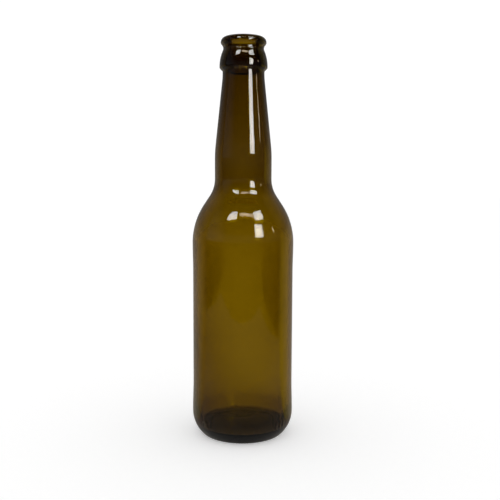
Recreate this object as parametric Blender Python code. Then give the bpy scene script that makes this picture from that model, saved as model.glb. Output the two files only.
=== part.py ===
"""A long-neck beer bottle of 33 cl, in brown glass, empty and open.

One turned glass solid. Its outside runs from the push-up under the base over the heel, the
label panel, the shoulder and the neck to the crown finish, and its inside runs from the mouth
back down to the floor. Metres, +Z up, with the origin at the middle of the ring that the
bottle stands on. Profile points are (radius, height) in millimetres, and a corner's third
value is the radius of the arc that rounds it.
"""

import math

import bmesh
import bpy

MM = 0.001

# Heights above the table.
HEIGHT = 233.8
BAND_BOTTOM = 17.0  # above the heel band the glass draws in to the label panel
PANEL_BOTTOM = 30.0
PANEL_TOP = 101.0
BAND_TOP = 112.2
SHOULDER_TOP_CORNER = 146.9  # where the shoulder's cone would meet the neck
NECK_TAPER_START = 168.0
NECK_TOP = 211.0

# Radii of the outside.
HEEL_BAND_RADIUS = 30.0  # the widest ring, which touches the next bottle in a crate
PANEL_RADIUS = 29.62
SHOULDER_BAND_RADIUS = 29.88
NECK_ROOT_RADIUS = 16.7
NECK_TOP_RADIUS = 12.18

# Heel and underside.
HEEL_FOOT_RADIUS = 23.75  # where the heel's cone would meet the table
HEEL_CORNER_HEIGHT = 6.05
HEEL_ARC = 17.4
HEEL_FOOT_ARC = 2.5
BEARING_INNER_RADIUS = 20.4
BEARING_INNER_ARC = 0.8
PUSH_UP_EDGE_RADIUS = 18.7
PUSH_UP_EDGE_HEIGHT = 1.3
PUSH_UP_HEIGHT = 3.0  # at the middle

# Label panel, shoulder and neck.
PANEL_EDGE_ARC = 200.0
SHOULDER_ANGLE = math.radians(33.65)  # from the vertical
SHOULDER_ARC = 40.5
NECK_ROOT_ARC = 18.3
NECK_TAPER_ARC = 80.0
NECK_TOP_ARC = 40.0

# Crown finish for a 26 mm cap, measured down from the rim.
LOCKING_RING_RADIUS = 13.24
LOCKING_RING_FOOT = 3.62
LOCKING_RING_FOOT_ARC = 1.2
LIP_ARC = 3.1
WAIST_RADIUS = 11.34  # of the corner that the waist's arc rounds
WAIST_DEPTH = 6.14
WAIST_ARC = 2.95
COLLAR_RADIUS = 13.95
COLLAR_FACE_TOP = 12.0
COLLAR_ARC = 21.8
COLLAR_BOTTOM = 17.6
COLLAR_BOTTOM_ARC = 1.0
COLLAR_FOOT = 19.4

# Inside.
MOUTH_ARC = 1.3
MOUTH_RADIUS = 7.9
BORE_RADIUS = 7.4
BORE_TOP = 6.0  # below the rim
BORE_FOOT = 16.0  # below the rim
BORE_ARC = 30.0
NECK_WALL_TOP = 3.6
NECK_WALL_TOP_DEPTH = 26.5  # below the rim
NECK_WALL_ROOT = 3.2
BODY_WALL = 2.0  # behind the label panel
SHOULDER_INNER_RADIUS = 28.0
SHOULDER_INNER_TOP = 147.3
HEEL_INNER_HEIGHT = 16.5  # where the wall starts to thicken towards the floor
HEEL_INNER_ARC = 40.0
FLOOR_RADIUS = 25.3
FLOOR_EDGE_HEIGHT = 6.1
FLOOR_CORNER_ARC = 1.8
FLOOR_HEIGHT = 7.4  # at the middle

SIDES = 56  # round the axis
SAGITTA = 0.09  # how far the chords of an arc may lie inside it

GLASS_COLOUR = (0.16, 0.075, 0.004, 1.0)
GLASS_ROUGHNESS = 0.03
GLASS_IOR = 1.52


def towards(start, end):
    """Unit vector from one point to another."""
    across, up = end[0] - start[0], end[1] - start[1]
    length = math.hypot(across, up)
    return across / length, up / length


def fillet(before, corner, after):
    """Points of the arc that rounds a corner between its two neighbours."""
    radius = corner[2]
    back = towards(corner, before)
    ahead = towards(corner, after)
    opening = math.acos(back[0] * ahead[0] + back[1] * ahead[1])
    turn = math.pi - opening
    half_way = math.hypot(back[0] + ahead[0], back[1] + ahead[1])
    reach = radius / math.sin(opening / 2) / half_way
    centre_x = corner[0] + (back[0] + ahead[0]) * reach
    centre_y = corner[1] + (back[1] + ahead[1]) * reach
    tangent = radius * math.tan(turn / 2)
    start_x = corner[0] + back[0] * tangent - centre_x
    start_y = corner[1] + back[1] * tangent - centre_y
    start = math.atan2(start_y, start_x)
    left_turn = back[0] * ahead[1] - back[1] * ahead[0] < 0
    sweep = turn if left_turn else -turn
    widest_chord = 2 * math.acos(max(0.5, 1 - SAGITTA / radius))
    chords = max(2, math.ceil(turn / widest_chord))
    angles = [start + sweep * step / chords for step in range(chords + 1)]
    return [(centre_x + radius * math.cos(a), centre_y + radius * math.sin(a)) for a in angles]


def rounded(corners):
    """The run of points through a row of corners, each rounded by its own arc."""
    points = [corners[0][:2]]
    for before, corner, after in zip(corners, corners[1:], corners[2:]):
        points += fillet(before, corner, after)
    points.append(corners[-1][:2])
    return points


def underside():
    """From the middle of the push-up to the ring that the bottle stands on."""
    return [
        (0.0, PUSH_UP_HEIGHT, 0.0),
        (PUSH_UP_EDGE_RADIUS, PUSH_UP_EDGE_HEIGHT, 3.0),
        (BEARING_INNER_RADIUS, 0.0, BEARING_INNER_ARC),
    ]


def heel_and_panel():
    """Heel, heel band and label panel."""
    return [
        (HEEL_FOOT_RADIUS, 0.0, HEEL_FOOT_ARC),
        (HEEL_BAND_RADIUS, HEEL_CORNER_HEIGHT, HEEL_ARC),
        (HEEL_BAND_RADIUS, BAND_BOTTOM, PANEL_EDGE_ARC),
        (PANEL_RADIUS, PANEL_BOTTOM, PANEL_EDGE_ARC),
        (PANEL_RADIUS, PANEL_TOP, PANEL_EDGE_ARC),
        (SHOULDER_BAND_RADIUS, BAND_TOP, PANEL_EDGE_ARC),
    ]


def shoulder(body_radius, neck_radius, top_corner, wall):
    """The two corners of the shoulder, on the outside or on a surface inside its wall."""
    rise = (body_radius - neck_radius) / math.tan(SHOULDER_ANGLE)
    return [
        (body_radius, top_corner - rise, SHOULDER_ARC - wall),
        (neck_radius, top_corner, NECK_ROOT_ARC + wall),
    ]


def neck_and_finish():
    """Tapered neck, collar, waist and the locking ring with its rounded lip."""
    return [
        (NECK_ROOT_RADIUS, NECK_TAPER_START, NECK_TAPER_ARC),
        (NECK_TOP_RADIUS, NECK_TOP, NECK_TOP_ARC),
        (NECK_TOP_RADIUS, HEIGHT - COLLAR_FOOT, COLLAR_BOTTOM_ARC / 2),
        (COLLAR_RADIUS, HEIGHT - COLLAR_BOTTOM, COLLAR_BOTTOM_ARC),
        (COLLAR_RADIUS, HEIGHT - COLLAR_FACE_TOP, COLLAR_ARC),
        (WAIST_RADIUS, HEIGHT - WAIST_DEPTH, WAIST_ARC),
        (LOCKING_RING_RADIUS, HEIGHT - LOCKING_RING_FOOT, LOCKING_RING_FOOT_ARC),
        (LOCKING_RING_RADIUS, HEIGHT, LIP_ARC),
    ]


def inside():
    """From the mouth down the bore, the neck, the shoulder and the body to the floor."""
    body_radius = PANEL_RADIUS - BODY_WALL
    neck_radius = NECK_ROOT_RADIUS - NECK_WALL_ROOT
    shoulder_bottom, shoulder_top = shoulder(
        SHOULDER_INNER_RADIUS, neck_radius, SHOULDER_INNER_TOP, BODY_WALL
    )
    return [
        (MOUTH_RADIUS, HEIGHT, MOUTH_ARC),
        (BORE_RADIUS, HEIGHT - BORE_TOP, BORE_ARC),
        (BORE_RADIUS, HEIGHT - BORE_FOOT, BORE_ARC),
        (NECK_TOP_RADIUS - NECK_WALL_TOP, HEIGHT - NECK_WALL_TOP_DEPTH, BORE_ARC),
        (neck_radius, NECK_TAPER_START, NECK_TAPER_ARC),
        shoulder_top,
        shoulder_bottom,
        (body_radius, PANEL_TOP, PANEL_EDGE_ARC),
        (body_radius, HEEL_INNER_HEIGHT, HEEL_INNER_ARC),
        (FLOOR_RADIUS, FLOOR_EDGE_HEIGHT, FLOOR_CORNER_ARC),
        (0.0, FLOOR_HEIGHT, 0.0),
    ]


def bottle_section():
    """The half section, from the axis under the base round to the axis on the floor inside."""
    outer_shoulder = shoulder(
        SHOULDER_BAND_RADIUS, NECK_ROOT_RADIUS, SHOULDER_TOP_CORNER, 0.0
    )
    return rounded(
        underside() + heel_and_panel() + outer_shoulder + neck_and_finish() + inside()
    )


def brown_glass():
    material = bpy.data.materials.new("brown_glass")
    material.use_nodes = True
    shader = material.node_tree.nodes["Principled BSDF"]
    shader.inputs["Base Color"].default_value = GLASS_COLOUR
    shader.inputs["Roughness"].default_value = GLASS_ROUGHNESS
    shader.inputs["Metallic"].default_value = 0.0
    shader.inputs["IOR"].default_value = GLASS_IOR
    shader.inputs["Transmission Weight"].default_value = 1.0
    return material


def turned(name, section, material):
    """A solid of revolution round Z from a half section whose two ends lie on the axis."""
    solid = bmesh.new()
    points = [solid.verts.new((radius * MM, 0.0, height * MM)) for radius, height in section]
    for start, end in zip(points, points[1:]):
        solid.edges.new((start, end))
    bmesh.ops.spin(
        solid,
        geom=solid.verts[:] + solid.edges[:],
        cent=(0.0, 0.0, 0.0),
        axis=(0.0, 0.0, 1.0),
        angle=2 * math.pi,
        steps=SIDES,
    )
    bmesh.ops.remove_doubles(solid, verts=solid.verts[:], dist=0.001 * MM)
    bmesh.ops.recalc_face_normals(solid, faces=solid.faces[:])
    mesh = bpy.data.meshes.new(name)
    solid.to_mesh(mesh)
    solid.free()
    mesh.materials.append(material)
    mesh.shade_smooth()
    obj = bpy.data.objects.new(name, mesh)
    bpy.context.scene.collection.objects.link(obj)
    return obj


def main():
    for obj in list(bpy.data.objects):
        bpy.data.objects.remove(obj)
    turned("bottle", bottle_section(), brown_glass())


main()
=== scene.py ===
# %% [markdown]
# # A long-neck beer bottle in brown glass
# The real bottle is blown in a mould: a gob of hot glass becomes a hollow neck and finish first, and
# the body is then blown out against the mould. What comes out is one piece of clear brown glass with
# a thick base, walls of two to four millimetres, two faint seams and a crown finish for a cap. Here
# the whole bottle is one closed glass skin, because light has to enter and leave every wall of it.

# %% The frame and its measures
import math

import bpy
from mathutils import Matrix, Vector


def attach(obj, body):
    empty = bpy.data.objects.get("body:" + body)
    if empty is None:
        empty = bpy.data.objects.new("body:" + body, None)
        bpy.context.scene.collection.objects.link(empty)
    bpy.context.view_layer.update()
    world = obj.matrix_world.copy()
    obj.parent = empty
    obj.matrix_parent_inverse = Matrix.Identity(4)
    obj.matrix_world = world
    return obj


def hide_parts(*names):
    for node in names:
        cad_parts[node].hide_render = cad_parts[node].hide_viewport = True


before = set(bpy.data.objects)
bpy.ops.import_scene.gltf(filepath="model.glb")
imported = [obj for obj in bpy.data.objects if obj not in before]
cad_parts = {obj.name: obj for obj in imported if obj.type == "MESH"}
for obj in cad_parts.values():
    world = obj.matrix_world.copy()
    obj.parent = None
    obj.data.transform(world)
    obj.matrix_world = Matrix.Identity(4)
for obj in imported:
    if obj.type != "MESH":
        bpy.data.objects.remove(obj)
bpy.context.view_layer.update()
MM = 0.001

# %% [markdown]
# ## Camera
# A bottle this tall is looked at from close by, and the camera is level with the root of its neck.
# So its mouth is seen from below and its heel from above. The lens could be given in millimetres at
# once, but a focal length in pixels of the square picture says more plainly how large the bottle
# comes out, and it is turned into millimetres here.

# %% Camera level with the neck's root
PICTURE_SIDE = 500.0
SENSOR_WIDTH = 36.0
FOCAL_PIXELS = 718.0
CAMERA_DISTANCE = 425.0
CAMERA_HEIGHT = 154.0
CAMERA_ASIDE = 4.0
CAMERA_PITCH = math.radians(5.87)
CAMERA_ROLL = math.radians(-0.24)
NEAREST_SEEN = 10.0


def look_with_camera():
    """The picture's camera, a little to the right of the bottle and a little tilted."""
    lens = bpy.data.cameras.new("camera")
    lens.sensor_width = SENSOR_WIDTH
    lens.lens = FOCAL_PIXELS / PICTURE_SIDE * SENSOR_WIDTH
    lens.clip_start = NEAREST_SEEN * MM
    camera = bpy.data.objects.new("camera", lens)
    camera.location = (CAMERA_ASIDE * MM, -CAMERA_DISTANCE * MM, CAMERA_HEIGHT * MM)
    camera.rotation_euler = (math.pi / 2 - CAMERA_PITCH, CAMERA_ROLL, 0.0)
    bpy.context.scene.collection.objects.link(camera)
    bpy.context.scene.camera = camera
    return camera


camera = look_with_camera()
print("camera lens", round(camera.data.lens, 1), "mm")

# %% [markdown]
# ## Half section of the bottle
# A bottle is turned round its axis, so half of its section says all about its form. It could be
# lofted from circles or carved from a cylinder, but the mould maker's drawing is a row of straight
# runs joined by arcs, and that is how it is drawn here: one point is extruded along each straight
# run and spun round the middle of each arc. Every value is in millimetres and has the same meaning
# as on such a drawing.

# %% Measures of the outside, from the table up
HEIGHT = 233.8
BAND_BOTTOM = 17.0
PANEL_BOTTOM = 30.0
PANEL_TOP = 101.0
BAND_TOP = 112.2
SHOULDER_TOP_CORNER = 146.9
NECK_TAPER_START = 168.0
NECK_TOP = 211.0

HEEL_BAND_RADIUS = 30.0
PANEL_RADIUS = 29.62
SHOULDER_BAND_RADIUS = 29.88
NECK_ROOT_RADIUS = 16.7
NECK_TOP_RADIUS = 12.18

HEEL_FOOT_RADIUS = 23.75
HEEL_CORNER_HEIGHT = 6.05
HEEL_ARC = 17.4
HEEL_FOOT_ARC = 2.5
BEARING_INNER_RADIUS = 20.4
BEARING_INNER_ARC = 0.8
PUSH_UP_EDGE_RADIUS = 18.7
PUSH_UP_EDGE_HEIGHT = 1.3
PUSH_UP_EDGE_ARC = 3.0
PUSH_UP_HEIGHT = 3.0

PANEL_EDGE_ARC = 200.0
SHOULDER_ANGLE = math.radians(33.65)
SHOULDER_ARC = 40.5
NECK_ROOT_ARC = 18.3
NECK_TAPER_ARC = 80.0
NECK_TOP_ARC = 40.0
print("bottle:", 2 * HEEL_BAND_RADIUS, "mm across and", HEIGHT, "mm high")

# %% Measures of the crown finish, down from the rim
LOCKING_RING_RADIUS = 13.24
LOCKING_RING_FOOT = 3.62
LOCKING_RING_FOOT_ARC = 1.2
LIP_ARC = 3.1
WAIST_RADIUS = 11.34  # of the corner that the waist's arc rounds
WAIST_DEPTH = 6.14
WAIST_ARC = 2.95
COLLAR_RADIUS = 13.95
COLLAR_FACE_TOP = 12.0
COLLAR_ARC = 21.8
COLLAR_BOTTOM = 17.6
COLLAR_BOTTOM_ARC = 1.0
COLLAR_FOOT = 19.4
COLLAR_FOOT_ARC = 0.5
print("locking ring:", 2 * LOCKING_RING_RADIUS, "mm across")

# %% Measures of the inside
MOUTH_ARC = 1.3
MOUTH_RADIUS = 7.9
BORE_RADIUS = 7.4
BORE_TOP = 6.0
BORE_FOOT = 16.0
BORE_ARC = 30.0
NECK_WALL_TOP = 3.6
NECK_WALL_TOP_DEPTH = 26.5
NECK_WALL_ROOT = 3.2
BODY_WALL = 2.0
SHOULDER_INNER_RADIUS = 28.0
SHOULDER_INNER_TOP = 147.3
HEEL_INNER_HEIGHT = 16.5
HEEL_INNER_ARC = 40.0
FLOOR_RADIUS = 25.3
FLOOR_EDGE_HEIGHT = 6.1
FLOOR_CORNER_ARC = 1.8
FLOOR_HEIGHT = 7.4
print("floor:", round(FLOOR_HEIGHT - PUSH_UP_HEIGHT, 1), "mm thick in its middle")


# %% Corners of the outside, each with the arc that rounds it
def shoulder_corners(body_radius, neck_radius, top_corner, wall):
    """The two corners of the shoulder, on the outside or on a surface inside its wall."""
    rise = (body_radius - neck_radius) / math.tan(SHOULDER_ANGLE)
    return [
        (body_radius, top_corner - rise, SHOULDER_ARC - wall),
        (neck_radius, top_corner, NECK_ROOT_ARC + wall),
    ]


def outside_corners():
    """From the middle of the push-up under the base to the rim."""
    return [
        (0.0, PUSH_UP_HEIGHT, 0.0),
        (PUSH_UP_EDGE_RADIUS, PUSH_UP_EDGE_HEIGHT, PUSH_UP_EDGE_ARC),
        (BEARING_INNER_RADIUS, 0.0, BEARING_INNER_ARC),
        (HEEL_FOOT_RADIUS, 0.0, HEEL_FOOT_ARC),
        (HEEL_BAND_RADIUS, HEEL_CORNER_HEIGHT, HEEL_ARC),
        (HEEL_BAND_RADIUS, BAND_BOTTOM, PANEL_EDGE_ARC),
        (PANEL_RADIUS, PANEL_BOTTOM, PANEL_EDGE_ARC),
        (PANEL_RADIUS, PANEL_TOP, PANEL_EDGE_ARC),
        (SHOULDER_BAND_RADIUS, BAND_TOP, PANEL_EDGE_ARC),
        *shoulder_corners(SHOULDER_BAND_RADIUS, NECK_ROOT_RADIUS, SHOULDER_TOP_CORNER, 0.0),
        (NECK_ROOT_RADIUS, NECK_TAPER_START, NECK_TAPER_ARC),
        (NECK_TOP_RADIUS, NECK_TOP, NECK_TOP_ARC),
        (NECK_TOP_RADIUS, HEIGHT - COLLAR_FOOT, COLLAR_FOOT_ARC),
        (COLLAR_RADIUS, HEIGHT - COLLAR_BOTTOM, COLLAR_BOTTOM_ARC),
        (COLLAR_RADIUS, HEIGHT - COLLAR_FACE_TOP, COLLAR_ARC),
        (WAIST_RADIUS, HEIGHT - WAIST_DEPTH, WAIST_ARC),
        (LOCKING_RING_RADIUS, HEIGHT - LOCKING_RING_FOOT, LOCKING_RING_FOOT_ARC),
        (LOCKING_RING_RADIUS, HEIGHT, LIP_ARC),
    ]


print("corners of the outside:", len(outside_corners()))


# %% Corners of the inside
def inside_corners():
    """From the rim down the bore, the neck, the shoulder and the body to the floor."""
    body_radius = PANEL_RADIUS - BODY_WALL
    neck_radius = NECK_ROOT_RADIUS - NECK_WALL_ROOT
    shoulder_bottom, shoulder_top = shoulder_corners(
        SHOULDER_INNER_RADIUS, neck_radius, SHOULDER_INNER_TOP, BODY_WALL
    )
    return [
        (MOUTH_RADIUS, HEIGHT, MOUTH_ARC),
        (BORE_RADIUS, HEIGHT - BORE_TOP, BORE_ARC),
        (BORE_RADIUS, HEIGHT - BORE_FOOT, BORE_ARC),
        (NECK_TOP_RADIUS - NECK_WALL_TOP, HEIGHT - NECK_WALL_TOP_DEPTH, BORE_ARC),
        (neck_radius, NECK_TAPER_START, NECK_TAPER_ARC),
        shoulder_top,
        shoulder_bottom,
        (body_radius, PANEL_TOP, PANEL_EDGE_ARC),
        (body_radius, HEEL_INNER_HEIGHT, HEEL_INNER_ARC),
        (FLOOR_RADIUS, FLOOR_EDGE_HEIGHT, FLOOR_CORNER_ARC),
        (0.0, FLOOR_HEIGHT, 0.0),
    ]


section_corners = outside_corners() + inside_corners()
print("corners in the half section:", len(section_corners))

# %% A first point and straight runs
LONGEST_STEP = 2.4  # along a straight run or an arc
FINISH_STEP = 0.55  # the same in the finish, whose small arcs mirror the lamps


def longest_step(up):
    """The longest step at a height of the section."""
    return FINISH_STEP if up > NECK_TOP else LONGEST_STEP


def first_point(name, across, up):
    """A small plane whose four corners are merged, so that a single point is left to draw with."""
    bpy.ops.object.select_all(action="DESELECT")
    bpy.ops.mesh.primitive_plane_add(size=MM, location=(0.0, 0.0, 0.0))
    drawing = bpy.context.object
    drawing.name = name
    bpy.ops.object.mode_set(mode="EDIT")
    bpy.ops.mesh.select_all(action="SELECT")
    bpy.ops.mesh.merge(type="CENTER")
    bpy.ops.transform.translate(value=(across * MM, 0.0, up * MM))
    return drawing


def straight_run(start, end):
    """Extrudes the last point to the end of a straight run, in steps."""
    steps = max(1, math.ceil(math.dist(start, end) / longest_step(end[1])))
    across = (end[0] - start[0]) / steps * MM
    up = (end[1] - start[1]) / steps * MM
    for _ in range(steps):
        bpy.ops.mesh.extrude_region_move(TRANSFORM_OT_translate={"value": (across, 0.0, up)})


print("steps of up to", LONGEST_STEP, "mm, and in the finish", FINISH_STEP, "mm")

# %% Arcs that round the corners
FLATTEST_CHORD = 0.006  # how far a chord may lie inside its arc
LARGEST_TURN = math.radians(9.0)  # of one step round an arc


def towards(start, end):
    """Unit vector from one point of the section to another."""
    length = math.dist(start, end)
    return (end[0] - start[0]) / length, (end[1] - start[1]) / length


def arc_round(corner, before, after):
    """Middle, start, end, turn and direction of the arc that rounds a corner."""
    back = towards(corner[:2], before[:2])
    ahead = towards(corner[:2], after[:2])
    opening = math.acos(back[0] * ahead[0] + back[1] * ahead[1])
    half_way = math.hypot(back[0] + ahead[0], back[1] + ahead[1])
    reach = corner[2] / math.sin(opening / 2) / half_way
    middle = [corner[i] + (back[i] + ahead[i]) * reach for i in (0, 1)]
    tangent = corner[2] / math.tan(opening / 2)
    start = [corner[i] + back[i] * tangent for i in (0, 1)]
    end = [corner[i] + ahead[i] * tangent for i in (0, 1)]
    left_turn = back[0] * ahead[1] - back[1] * ahead[0] < 0
    return middle, start, end, math.pi - opening, 1.0 if left_turn else -1.0


def spin_round(corner, arc):
    """Spins the last point round the middle of an arc."""
    middle, start, end, turn, side = arc
    chord = 2 * math.acos(1 - FLATTEST_CHORD / corner[2])
    chord = min(chord, longest_step(corner[1]) / corner[2], LARGEST_TURN)
    bpy.ops.mesh.spin(
        steps=max(2, math.ceil(turn / chord)),
        angle=turn,
        center=(middle[0] * MM, 0.0, middle[1] * MM),
        axis=(0.0, side, 0.0),
    )


print("steps round an arc of up to", round(math.degrees(LARGEST_TURN)), "degrees")

# %% The half section
SHORTEST_RUN = 0.001


def draw_section(name, corners):
    """The half section as one chain of edges, from its first corner to its last."""
    drawing = first_point(name, *corners[0][:2])
    tip = corners[0][:2]
    for before, corner, after in zip(corners, corners[1:], corners[2:]):
        arc = arc_round(corner, before, after)
        if math.dist(tip, arc[1]) > SHORTEST_RUN:
            straight_run(tip, arc[1])
        spin_round(corner, arc)
        tip = arc[2]
    straight_run(tip, corners[-1][:2])
    bpy.ops.object.mode_set(mode="OBJECT")
    return drawing


bottle_glass = draw_section("bottle_glass", section_corners)
print("points in the half section:", len(bottle_glass.data.vertices))

# %% [markdown]
# ## Turning the section
# A Screw modifier could sweep the section too, but Spin leaves a mesh whose points can be moved at
# once. The first and the last column of points fall on each other and are merged, and so are the
# points on the axis. Only after that are the normals recalculated, so that the skin faces out of the
# glass everywhere: away from the bottle on the outside and towards its axis on the inside.

# %% Turning
SIDES = 192
MERGE_DISTANCE = 0.002


def turn_round_axis():
    """Makes the half section, whose two ends lie on the axis, a closed solid of revolution."""
    bpy.ops.object.mode_set(mode="EDIT")
    bpy.ops.mesh.select_all(action="SELECT")
    bpy.ops.mesh.spin(steps=SIDES, angle=2 * math.pi, center=(0, 0, 0), axis=(0, 0, 1))
    bpy.ops.mesh.select_all(action="SELECT")
    bpy.ops.mesh.remove_doubles(threshold=MERGE_DISTANCE * MM)
    bpy.ops.mesh.normals_make_consistent(inside=False)
    bpy.ops.object.mode_set(mode="OBJECT")
    bpy.ops.object.shade_smooth()


turn_round_axis()
print("faces of the glass skin:", len(bottle_glass.data.polygons))

# %% [markdown]
# ## Marks of the mould
# Where the two halves of the mould meet, a hair of glass stands out from the body on each side. The
# ring that the bottle stands on is knurled, because hot glass chills less on small grooves, and the
# heel carries small dots that tell the moulds apart. They could be a bump in the material, but then
# their edges wouldn't bend the light. So seams and knurls are points of the skin shifted by about a
# tenth of a millimetre, a dot is one face that is inset and lifted, and the skin stays closed.

# %% Points of the inner surface
ANGLE_STEP = 360.0 / SIDES
# radius and height of a line between the inner and the outer surface, from the floor up
BETWEEN_SURFACES = (
    (27.0, FLOOR_EDGE_HEIGHT),
    (28.6, 14.0),
    (28.8, 112.0),
    (26.5, 127.0),
    (15.8, 147.0),
    (15.2, 168.0),
    (10.4, NECK_TOP),
    (9.6, HEIGHT - 3.0),
)


def place_of(point):
    """Degrees from the front towards the right, millimetres from the axis, and height."""
    turn = math.degrees(math.atan2(point.x, -point.y)) % 360.0
    return turn, math.hypot(point.x, point.y) / MM, point.z / MM


def is_inside(point):
    """Whether a point lies on the wall's inner surface, below the mouth."""
    _, across, up = place_of(point)
    for low, high in zip(BETWEEN_SURFACES, BETWEEN_SURFACES[1:]):
        if low[1] <= up <= high[1]:
            share = (up - low[1]) / (high[1] - low[1])
            return across < low[0] + (high[0] - low[0]) * share
    return False


inner_points = {v.index for v in bottle_glass.data.vertices if is_inside(v.co)}
print("points on the inner surface:", len(inner_points))

# %% Seams and knurls
SEAM_COLUMNS = (185, 89)  # columns of points, counted from the front towards the right
SEAM_HEIGHT = 0.07
SEAM_FOOT = 13.0
KNURL_DEPTH = 0.12
KNURL_RING = (19.9, 24.2)
BEARING_TOP = 0.5


def press_marks(skin):
    """Lifts every other column of the bearing ring off the table, and the seams off the body."""
    normals = [vertex.normal.copy() for vertex in skin.data.vertices]
    shifted = 0
    for vertex, outward in zip(skin.data.vertices, normals):
        turn, across, up = place_of(vertex.co)
        column = round(turn / ANGLE_STEP) % SIDES
        is_push_up = across < KNURL_RING[0] and up < PANEL_TOP
        if vertex.index in inner_points or is_push_up:
            continue
        if up < BEARING_TOP:
            if across < KNURL_RING[1] and column % 2:
                vertex.co.z += KNURL_DEPTH * MM
                shifted += 1
        elif column in SEAM_COLUMNS and SEAM_FOOT < up < HEIGHT - COLLAR_BOTTOM:
            vertex.co += outward * SEAM_HEIGHT * MM
            shifted += 1
    return shifted


print("points in seams and knurls:", press_marks(bottle_glass))

# %% Dots on the heel
DOT_EDGE = 0.16
DOT_HEIGHT = 0.28
# columns of faces to the right of the front, and the heights between which they carry dots
HEEL_DOTS = (
    ((167, 168, 169, 182, 1, 2, 5, 6, 9, 12, 22, 25, 28), (8.6, 12.4)),
    ((124, 106, 103, 99, 90, 87, 85, 82, 80, 78, 76), (10.9, 12.4)),
)
inner_faces = {f.index for f in bottle_glass.data.polygons if inner_points.issuperset(f.vertices)}


def raise_dots(skin):
    """Insets single faces of the heel and lifts them a little out of the glass."""
    bpy.ops.object.mode_set(mode="EDIT")
    bpy.ops.mesh.select_mode(type="FACE")
    bpy.ops.mesh.select_all(action="DESELECT")
    bpy.ops.object.mode_set(mode="OBJECT")
    chosen = 0
    for face in skin.data.polygons:
        turn, across, up = place_of(face.center)
        column = int(turn / ANGLE_STEP)
        is_outside = across > FLOOR_RADIUS and face.index not in inner_faces
        face.select = is_outside and any(
            column in columns and low < up < high for columns, (low, high) in HEEL_DOTS
        )
        chosen += face.select
    bpy.ops.object.mode_set(mode="EDIT")
    bpy.ops.mesh.inset(thickness=DOT_EDGE * MM, depth=DOT_HEIGHT * MM, use_individual=True)
    bpy.ops.mesh.select_mode(type="VERT")
    bpy.ops.object.mode_set(mode="OBJECT")
    return chosen


print("dots on the heel:", raise_dots(bottle_glass))

# %% [markdown]
# ## Wall of blown glass
# The inside never touches a mould, so the wall isn't even, and an even one looks like plastic. The
# flanks below the shoulder stay thicker down to slanting lines, the hollow leans a little to the
# right above the heel, and two small spots at the back of the heel are thin and let more light
# through. These forms have a known place, so points are moved there by their angle and height. The
# small waves all over have none, so a Displace modifier with clouds makes them.

# %% Thickness of the flanks
FLANK_TOP = 127.0
FLANK_TOP_FADE = 12.0
FLANK_DEPTH_TOP = 0.2
FLANK_DEPTH_FOOT = 0.66
FLANK_GROWTH = 38.0  # height, down from its top, over which a flank gets its full depth
FLANK_INNER_EDGE = 9.0  # degrees
FLANK_OUTER_EDGE = 20.0  # degrees
FLANK_FOOT_BELOW = 3.0
FLANK_FOOT_ABOVE = 9.0
# degrees from the front and height of the lower end, for the right flank and for the left one
FLANKS = {
    1.0: ((19.0, 100.0), (28.0, 78.0), (44.0, 62.0), (66.0, 66.0)),
    -1.0: ((18.0, 104.0), (32.0, 86.0), (46.0, 76.0), (66.0, 80.0)),
}


def smooth(value, low, high):
    """Rises from 0 to 1 between two values."""
    share = min(max((value - low) / (high - low), 0.0), 1.0)
    return share * share * (3 - 2 * share)


def flank_at(turn, up):
    """Share of a flank's thickness at a place."""
    turn = (turn + 180.0) % 360.0 - 180.0
    share = 0.0
    for side, ends in FLANKS.items():
        around = turn * side
        inner, outer = ends[0][0], ends[-1][0]
        for (start, low), (stop, high) in zip(ends, ends[1:]):
            if start <= around <= stop:
                foot = low + (high - low) * (around - start) / (stop - start)
                begins = smooth(around, inner, inner + FLANK_INNER_EDGE)
                fades = 1 - smooth(around, outer - FLANK_OUTER_EDGE, outer)
                above_foot = smooth(up, foot - FLANK_FOOT_BELOW, foot + FLANK_FOOT_ABOVE)
                below_top = 1 - smooth(up, FLANK_TOP - FLANK_TOP_FADE, FLANK_TOP)
                share = begins * fades * above_foot * below_top
    return share


print("share in the right flank:", round(flank_at(40.0, 90.0), 2), "in front:", flank_at(0.0, 90.0))

# %% Thick flanks, a leaning hollow and thin spots
LEAN_LEFT = 0.36
LEAN_RIGHT = 0.12
LEAN_BEGINS = (8.0, 18.0)
LEAN_ENDS = (42.0, 80.0)
# turn, height, degrees and millimetres of reach, and millimetres of glass left out
THIN_SPOTS = (
    (197.4, 11.0, 3.4, 2.2, 1.3),
    (196.6, 18.0, 2.8, 2.0, 0.8),
)


def wall_shift(turn, up):
    """Millimetres by which the inner surface comes out of the glass at a place."""
    growth = smooth(FLANK_TOP - up, 0.0, FLANK_GROWTH)
    depth = FLANK_DEPTH_TOP + (FLANK_DEPTH_FOOT - FLANK_DEPTH_TOP) * growth
    shift = depth * flank_at(turn, up)
    lean = smooth(up, *LEAN_BEGINS) * (1 - smooth(up, *LEAN_ENDS))
    shift -= (LEAN_RIGHT if turn < 180.0 else LEAN_LEFT) * lean * math.sin(math.radians(turn))
    for spot_turn, spot_up, degrees, reach, missing in THIN_SPOTS:
        away = (turn - spot_turn + 180.0) % 360.0 - 180.0
        shift -= missing * math.exp(-((away / degrees) ** 2) - ((up - spot_up) / reach) ** 2)
    return shift


def shape_wall(skin):
    """Moves points of the inner surface along their normals, out of the glass or into it."""
    normals = [vertex.normal.copy() for vertex in skin.data.vertices]
    shifts = []
    for index in inner_points:
        vertex = skin.data.vertices[index]
        turn, _, up = place_of(vertex.co)
        shifts.append(wall_shift(turn, up))
        vertex.co += normals[index] * shifts[-1] * MM
    return min(shifts), max(shifts)


print("wall changed by", [round(shift, 2) for shift in shape_wall(bottle_glass)], "mm")

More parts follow.
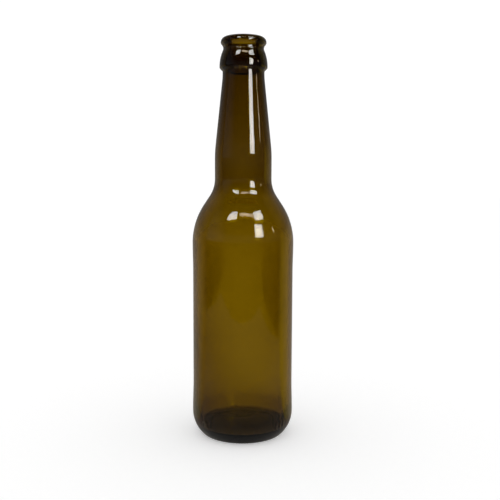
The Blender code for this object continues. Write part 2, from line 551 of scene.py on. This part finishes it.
# %% Waves of the inner surface
WAVES = (("slow_waves", 22.0, 0.2), ("ripples", 7.0, 0.08))  # name, size and height
WAVES_BEGIN = (16.0, 34.0)
WAVES_CALM_DOWN = (128.0, 150.0)
CALMED_SHARE = 0.7
WAVES_END = (200.0, 225.0)


def wave_weight(up):
    """Full in the body, low in the neck, and none in the floor and the mouth."""
    calm = 1 - smooth(up, *WAVES_CALM_DOWN) * CALMED_SHARE
    return smooth(up, *WAVES_BEGIN) * calm * (1 - smooth(up, *WAVES_END))


def wave_inside(skin):
    """Pushes the wall's inner surface in and out by clouds."""
    group = skin.vertex_groups.new(name="inner_wall")
    for index in inner_points:
        group.add([index], wave_weight(skin.data.vertices[index].co.z / MM), "REPLACE")
    bpy.ops.object.select_all(action="DESELECT")
    skin.select_set(True)
    bpy.context.view_layer.objects.active = skin
    for name, size, strength in WAVES:
        clouds = bpy.data.textures.new(name, type="CLOUDS")
        clouds.noise_scale = size * MM
        waves = skin.modifiers.new(name, "DISPLACE")
        waves.texture = clouds
        waves.texture_coords = "LOCAL"
        waves.vertex_group = group.name
        waves.strength = strength * MM
        bpy.ops.object.modifier_apply(modifier=waves.name)


wave_inside(bottle_glass)
print("faces of the uneven skin:", len(bottle_glass.data.polygons))

# %% [markdown]
# ## Brown glass
# The colour of a bottle isn't on its surface. Iron, sulphur and carbon in the melt swallow blue
# light and most of the green, so a thin wall is olive and a thick one nearly black. A tinted surface
# would give both the same brown. So the surface only refracts and reflects, and the space inside
# absorbs light. Handling leaves some patches a little duller, and the mould leaves a faint orange
# peel, so one noise drives the roughness and another a very low bump.

# %% Glass
WHITE = (1.0, 1.0, 1.0, 1.0)
GLASS_IOR = 1.52
GLASS_REMAINS = (0.775, 0.7306, 0.0, 1.0)
GLASS_DENSITY = 1600.0
HANDLING_WEAR = 0.02
WEAR_SCALE = 90.0
WEAR_DETAIL = 4.0
WEAR_RANGE = (0.62, 0.8)
PEEL_SCALE = 260.0
PEEL_STRENGTH = 0.12
PEEL_DEPTH = 0.02


def noise_at(tree, place, scale):
    """A Noise Texture that reads the piece's own coordinates."""
    noise = tree.nodes.new("ShaderNodeTexNoise")
    noise.inputs["Scale"].default_value = scale
    tree.links.new(place.outputs["Object"], noise.inputs["Vector"])
    return noise


def dull_patches(tree, place, shader):
    """Patches of handling wear in the roughness."""
    wear = noise_at(tree, place, WEAR_SCALE)
    wear.inputs["Detail"].default_value = WEAR_DETAIL
    dull = tree.nodes.new("ShaderNodeMapRange")
    dull.inputs["From Min"].default_value = WEAR_RANGE[0]
    dull.inputs["From Max"].default_value = WEAR_RANGE[1]
    dull.inputs["To Max"].default_value = HANDLING_WEAR
    tree.links.new(wear.outputs["Fac"], dull.inputs["Value"])
    tree.links.new(dull.outputs[0], shader.inputs["Roughness"])


def orange_peel(tree, place, shader):
    """The faint unevenness that the mould leaves on the glass."""
    peel = tree.nodes.new("ShaderNodeBump")
    peel.inputs["Strength"].default_value = PEEL_STRENGTH
    peel.inputs["Distance"].default_value = PEEL_DEPTH * MM
    tree.links.new(noise_at(tree, place, PEEL_SCALE).outputs["Fac"], peel.inputs["Height"])
    tree.links.new(peel.outputs["Normal"], shader.inputs["Normal"])


def brown_glass():
    """Clear glass that absorbs light by the path it takes inside."""
    glass = bpy.data.materials.new("brown_glass")
    glass.use_nodes = True
    tree = glass.node_tree
    shader = tree.nodes["Principled BSDF"]
    shader.inputs["Base Color"].default_value = WHITE
    shader.inputs["Roughness"].default_value = 0.0
    shader.inputs["IOR"].default_value = GLASS_IOR
    shader.inputs["Transmission Weight"].default_value = 1.0
    place = tree.nodes.new("ShaderNodeTexCoord")
    dull_patches(tree, place, shader)
    orange_peel(tree, place, shader)
    inside = tree.nodes.new("ShaderNodeVolumeAbsorption")
    inside.inputs["Color"].default_value = GLASS_REMAINS
    inside.inputs["Density"].default_value = GLASS_DENSITY
    tree.links.new(inside.outputs["Volume"], tree.nodes["Material Output"].inputs["Volume"])
    return glass


bottle_glass.data.materials.append(brown_glass())
print("materials:", [m.name for m in bottle_glass.data.materials])

# %% [markdown]
# ## Place in the frame
# The glass skin has the same form as the plain solid of the frame, so it stands for that solid and
# rides on the one body there is.

# %% Riding on the frame
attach(bottle_glass, "root")
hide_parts("bottle")
print("riding on the frame:", bottle_glass.name)

# %% [markdown]
# ## Table
# The bottle stands on a wide pale table. Lamps could light it, but then their shadows would cross
# it. So the pale room lights it from all sides, and it glows a little for the camera alone. Through
# the glass its colour is warmer: painted warm light, as under warm lamps.

# %% Table
TABLE_RADIUS = 6000.0
TABLE_SIDES = 96
TABLE_WHITE = (0.95, 0.95, 0.95, 1.0)
# the table's colour through the glass: painted warm light, as under warm lamps
PAINTED_WARM_LIGHT = (0.94, 0.705, 0.54, 1.0)
TABLE_GLOW = 0.34


def calculate(tree, operation, *operands):
    """A Math node whose operands are sockets or numbers."""
    node = tree.nodes.new("ShaderNodeMath")
    node.operation = operation
    for socket, value in zip(node.inputs, operands):
        if isinstance(value, float):
            socket.default_value = value
        else:
            tree.links.new(value, socket)
    return node.outputs[0]


def add_up(tree, first, second):
    """An Add Shader node."""
    node = tree.nodes.new("ShaderNodeAddShader")
    for socket, value in zip(node.inputs, (first, second)):
        tree.links.new(value, socket)
    return node.outputs[0]


def table_paint():
    """Matt pale paint, with painted warm light where it is seen through the glass."""
    paint = bpy.data.materials.new("pale_table")
    paint.use_nodes = True
    tree = paint.node_tree
    tree.nodes.clear()
    path = tree.nodes.new("ShaderNodeLightPath")
    matt = tree.nodes.new("ShaderNodeBsdfDiffuse")
    glow = tree.nodes.new("ShaderNodeEmission")
    out = tree.nodes.new("ShaderNodeOutputMaterial")
    # painted warm light for rays that come through the glass
    tint = tree.nodes.new("ShaderNodeMix")
    tint.data_type = "RGBA"
    tint.inputs["A"].default_value = TABLE_WHITE
    tint.inputs["B"].default_value = PAINTED_WARM_LIGHT
    tree.links.new(path.outputs["Is Transmission Ray"], tint.inputs["Factor"])
    tree.links.new(tint.outputs["Result"], matt.inputs["Color"])
    seen = calculate(tree, "MULTIPLY", path.outputs["Is Camera Ray"], TABLE_GLOW)
    tree.links.new(seen, glow.inputs["Strength"])
    tree.links.new(add_up(tree, matt.outputs[0], glow.outputs[0]), out.inputs["Surface"])
    return paint


def pale_table():
    """A wide plain table top, which the camera sees as nearly white."""
    bpy.ops.object.select_all(action="DESELECT")
    bpy.ops.mesh.primitive_circle_add(
        vertices=TABLE_SIDES, radius=TABLE_RADIUS * MM, fill_type="NGON"
    )
    table = bpy.context.object
    table.name = "table"
    table.data.materials.append(table_paint())
    table.visible_glossy = False
    return table


table = pale_table()
print("table:", round(table.dimensions.x, 1), "m across")

# %% [markdown]
# ## Room
# Glass shows what stands round it. A plain white room would do for a matt piece, but it would make
# the glass flat and milky. So light that comes through the glass finds a pale room, and what the
# glass mirrors is given apart: behind the bottle the dimmer table and wall, warmer at the right, and
# in front of it a dark room with a dim ceiling and a dim wall at the left. Each ramp runs over one
# direction of the ray, from 0 to 1 with the bottle in the middle.

# %% Colours of the room behind the bottle, as the glass mirrors them
HALF = 0.5
ROOM_CORNER = (0.07, 0.06, 0.045)
# from the bottle's side to straight behind it
BACK_STOPS = (0.54, 0.555, 0.66, 0.77, 0.85, 1.0)
TABLE_LEFT = (
    ROOM_CORNER,
    (0.34, 0.19, 0.03),
    (0.44, 0.32, 0.12),
    (0.52, 0.42, 0.24),
    (0.5, 0.42, 0.29),
    (0.31, 0.29, 0.27),
)
TABLE_RIGHT = (
    ROOM_CORNER,
    (0.7, 0.5, 0.02),
    (0.7, 0.5, 0.09),
    (0.66, 0.49, 0.17),
    (0.56, 0.44, 0.25),
    (0.31, 0.29, 0.27),
)
WALL_LEFT = (
    ROOM_CORNER,
    (0.15, 0.11, 0.06),
    (0.21, 0.165, 0.11),
    (0.24, 0.21, 0.17),
    (0.22, 0.21, 0.2),
    (0.2, 0.2, 0.2),
)
WALL_RIGHT = (
    ROOM_CORNER,
    (0.14, 0.1, 0.03),
    (0.18, 0.14, 0.06),
    (0.24, 0.2, 0.13),
    (0.22, 0.2, 0.18),
    (0.2, 0.2, 0.2),
)
# share of the wall's colours, from straight down to straight up
TABLE_TO_WALL = (
    (0.28, 1.0),
    (0.36, 0.0),
    (0.485, 0.0),
    (0.515, 0.4),
    (0.56, 0.55),
    (0.582, 1.0),
    (0.62, 1.0),
    (0.7, 0.85),
)
print("stops from the side to the back:", len(BACK_STOPS))


# %% Room behind the bottle
def mix_by(tree, factor, first, second):
    """A Mix Shader node."""
    node = tree.nodes.new("ShaderNodeMixShader")
    for socket, value in zip(node.inputs, (factor, first, second)):
        tree.links.new(value, socket)
    return node.outputs[0]


def set_stop(element, position, value):
    """Gives a stop of a ramp its place, and its colour or grey."""
    element.position = position
    element.color = (value, value, value, 1.0) if isinstance(value, float) else (*value, 1.0)


def ramp_of(tree, factor, stops):
    """A ramp of colours or greys over a value."""
    node = tree.nodes.new("ShaderNodeValToRGB")
    elements = node.color_ramp.elements
    set_stop(elements[0], *stops[0])
    set_stop(elements[1], *stops[-1])
    for position, value in stops[1:-1]:
        set_stop(elements.new(position), position, value)
    tree.links.new(factor, node.inputs["Fac"])
    return node.outputs["Color"]


def background(tree, colour=None, strength=1.0, tint=WHITE):
    """A Background node with a linked colour or a plain one."""
    node = tree.nodes.new("ShaderNodeBackground")
    node.inputs["Strength"].default_value = strength
    node.inputs["Color"].default_value = tint
    if colour is not None:
        tree.links.new(colour, node.inputs["Color"])
    return node.outputs[0]


def room_behind(tree, across, back, up):
    """Table below and wall above, each with its own colours at the left and at the right."""
    is_right = calculate(tree, "GREATER_THAN", across, HALF)
    parts = []
    for sides in ((TABLE_LEFT, TABLE_RIGHT), (WALL_LEFT, WALL_RIGHT)):
        ramps = [ramp_of(tree, back, list(zip(BACK_STOPS, colours))) for colours in sides]
        parts.append(mix_by(tree, is_right, *[background(tree, ramp) for ramp in ramps]))
    return mix_by(tree, ramp_of(tree, up, TABLE_TO_WALL), *parts)


# %% Room in front of the bottle
DIM_CEILING = (
    (0.5, 0.0),
    (0.51, (0.05, 0.05, 0.052)),
    (0.61, (0.05, 0.05, 0.052)),
    (0.64, 0.0),
)
DIM_WALL = (
    (0.0, 0.12),
    (0.07, 0.1),
    (0.2, 0.0),
)
WALL_FOOT = 0.52


def room_in_front(tree, across, up):
    """A dark room with a dim ceiling, and a dim wall at the left that ends above the table."""
    ceiling = background(tree, ramp_of(tree, up, DIM_CEILING))
    wall = background(tree, ramp_of(tree, across, DIM_WALL))
    above_foot = calculate(tree, "GREATER_THAN", up, WALL_FOOT)
    tree.links.new(above_foot, wall.node.inputs["Strength"])
    return add_up(tree, ceiling, wall)


# %% Room
SEEN_WHITE = 1.06
LIT_FROM_BEHIND = 0.72
DIM_FROM_FRONT = 0.1
WARM_WHITE = (1.0, 0.783, 0.6, 1.0)
# share of the light from behind for a ray that has been mirrored inside the glass
FRONT_TO_BACK = (
    (0.48, 0.0),
    (0.6, 1.0),
)


def at_least_once(tree, path, depth):
    """1 for a ray that has been mirrored, or has gone through a surface, once or more."""
    return calculate(tree, "GREATER_THAN", path.outputs[depth], HALF)


def light_of_room(tree, path, across, back, up):
    """White for the camera, warm through the glass, and dim where the glass mirrors it."""
    is_back = calculate(tree, "GREATER_THAN", back, HALF)
    in_front = room_in_front(tree, across, up)
    mirrored = mix_by(tree, is_back, in_front, room_behind(tree, across, back, up))
    lit = background(tree, strength=LIT_FROM_BEHIND, tint=WARM_WHITE)
    dim = background(tree, strength=DIM_FROM_FRONT, tint=WARM_WHITE)
    inner = mix_by(tree, ramp_of(tree, back, FRONT_TO_BACK), dim, lit)
    unseen = background(tree, strength=LIT_FROM_BEHIND)
    seen = background(tree, strength=SEEN_WHITE)
    white = mix_by(tree, path.outputs["Is Camera Ray"], unseen, seen)
    direct = mix_by(tree, path.outputs["Is Transmission Ray"], white, lit)
    went_in = at_least_once(tree, path, "Transmission Depth")
    reflected = mix_by(tree, went_in, mirrored, inner)
    return mix_by(tree, at_least_once(tree, path, "Glossy Depth"), direct, reflected)


def pale_room():
    """The world round the bottle, by the direction of each ray."""
    world = bpy.data.worlds.new("room")
    world.use_nodes = True
    tree = world.node_tree
    tree.nodes.clear()
    path = tree.nodes.new("ShaderNodeLightPath")
    place = tree.nodes.new("ShaderNodeTexCoord")
    split = tree.nodes.new("ShaderNodeSeparateXYZ")
    tree.links.new(place.outputs["Generated"], split.inputs[0])
    across, back, up = [calculate(tree, "MULTIPLY_ADD", axis, HALF, HALF) for axis in split.outputs]
    out = tree.nodes.new("ShaderNodeOutputWorld")
    tree.links.new(light_of_room(tree, path, across, back, up), out.inputs["Surface"])
    bpy.context.scene.world = world
    return world


room = pale_room()
print("nodes of the room:", len(room.node_tree.nodes))
bpy.context.scene.view_settings.view_transform = "Standard"

# %% [markdown]
# ## Soft boxes and lamps
# The bright marks on the shoulder, the neck and the finish are mirrored lamps. Area lights would
# light the table too and cast shadows on it, so each lamp is a bright four-cornered sheet that only
# the glass mirrors: two large soft boxes high up, a lower one at the right, a warm lamp above, and a
# small one far off at the right. One more sheet is the lit table top in front of the bottle.

# %% Light of a sheet that only the glass mirrors
SHEET_MIDDLE = (0.5, 0.5, 0.0)
SHEET_REACH = 0.62


def fall_from(tree, middle, reach, inner, edge):
    """Strength that falls from the middle of a sheet to its edge."""
    place = tree.nodes.new("ShaderNodeTexCoord")
    from_middle = tree.nodes.new("ShaderNodeVectorMath")
    from_middle.operation = "DISTANCE"
    from_middle.inputs[1].default_value = middle
    tree.links.new(place.outputs["UV"], from_middle.inputs[0])
    fall = tree.nodes.new("ShaderNodeMapRange")
    fall.interpolation_type = "SMOOTHSTEP"
    fall.inputs["From Max"].default_value = reach
    fall.inputs["To Min"].default_value = inner
    fall.inputs["To Max"].default_value = edge
    tree.links.new(from_middle.outputs["Value"], fall.inputs["Value"])
    return fall.outputs[0]


def sheet_light(name, strengths, colour, middle, reach):
    """Light where a ray has been mirrored, and nothing for any other ray."""
    glow = bpy.data.materials.new(name)
    glow.use_nodes = True
    glow.cycles.emission_sampling = "NONE"
    tree = glow.node_tree
    tree.nodes.clear()
    light = tree.nodes.new("ShaderNodeEmission")
    light.inputs["Color"].default_value = (*colour, 1.0)
    tree.links.new(fall_from(tree, middle, reach, *strengths), light.inputs["Strength"])
    clear = tree.nodes.new("ShaderNodeBsdfTransparent")
    mirrored = at_least_once(tree, tree.nodes.new("ShaderNodeLightPath"), "Glossy Depth")
    out = tree.nodes.new("ShaderNodeOutputMaterial")
    surface = mix_by(tree, mirrored, clear.outputs[0], light.outputs[0])
    tree.links.new(surface, out.inputs["Surface"])
    return glow


print("a sheet's light falls over", SHEET_REACH, "of its side")


# %% A sheet in its place
def mirrored_sheet(name, corners, strengths, colour, middle=SHEET_MIDDLE, reach=SHEET_REACH):
    """A four-cornered sheet, brightest in its middle, in millimetres round the bottle."""
    bpy.ops.object.select_all(action="DESELECT")
    bpy.ops.mesh.primitive_plane_add(size=MM)
    sheet = bpy.context.object
    sheet.name = name
    for vertex, corner in zip(sheet.data.vertices, corners):
        vertex.co = Vector(corner) * MM
    sheet.data.materials.append(sheet_light(name, strengths, colour, middle, reach))
    sheet.visible_camera = False
    sheet.visible_diffuse = False
    sheet.visible_shadow = False


# %% Soft boxes and lamps
COOL = (0.97, 0.985, 1.0)
NEUTRAL = (1.0, 0.975, 0.93)
WARM = (1.0, 0.8, 0.56)
# lower left, lower right, upper left and upper right corner
LAMP_CORNERS = {
    "soft_box_left": ((-710, -715, 818), (-283, -896, 909), (-556, -594, 1036), (-233, -684, 1110)),
    "soft_box_right": ((552, -825, 840), (862, -512, 822), (416, -670, 1058), (698, -364, 1057)),
    "soft_box_low": ((375, -727, 255), (595, -562, 243), (343, -622, 540), (541, -479, 516)),
    "lamp_above": ((-175, -837, 999), (467, -786, 938), (-175, -744, 1078), (439, -708, 1019)),
    "small_lamp": ((2545, -702, 736), (2585, -548, 713), (2434, -726, 1059), (2478, -602, 1039)),
}
# strengths in the middle and at the edge, and colour
LAMP_LIGHT = {
    "soft_box_left": ((13.0, 10.0), COOL),
    "soft_box_right": ((13.0, 10.0), COOL),
    "soft_box_low": ((15.5, 11.0), NEUTRAL),
    "lamp_above": ((9.5, 6.0), WARM),
    "small_lamp": ((9.0, 6.0), WARM),
}
for name, corners in LAMP_CORNERS.items():
    mirrored_sheet(name, corners, *LAMP_LIGHT[name])
print("soft boxes and lamps:", len(LAMP_CORNERS))

# %% Table top in front of the bottle
TABLE_FRONT = ((-450, -385, -1), (300, -385, -1), (-450, 0, -1), (300, 0, -1))
TABLE_FRONT_STRENGTHS = (0.23, 0.1)
TABLE_FRONT_COLOUR = (1.0, 0.95, 0.88)
mirrored_sheet(
    "table_front",
    TABLE_FRONT,
    TABLE_FRONT_STRENGTHS,
    TABLE_FRONT_COLOUR,
    middle=(0.6, 1.0, 0.0),
    reach=0.45,
)
print("lit table top in front:", TABLE_FRONT[1][0] - TABLE_FRONT[0][0], "mm wide")
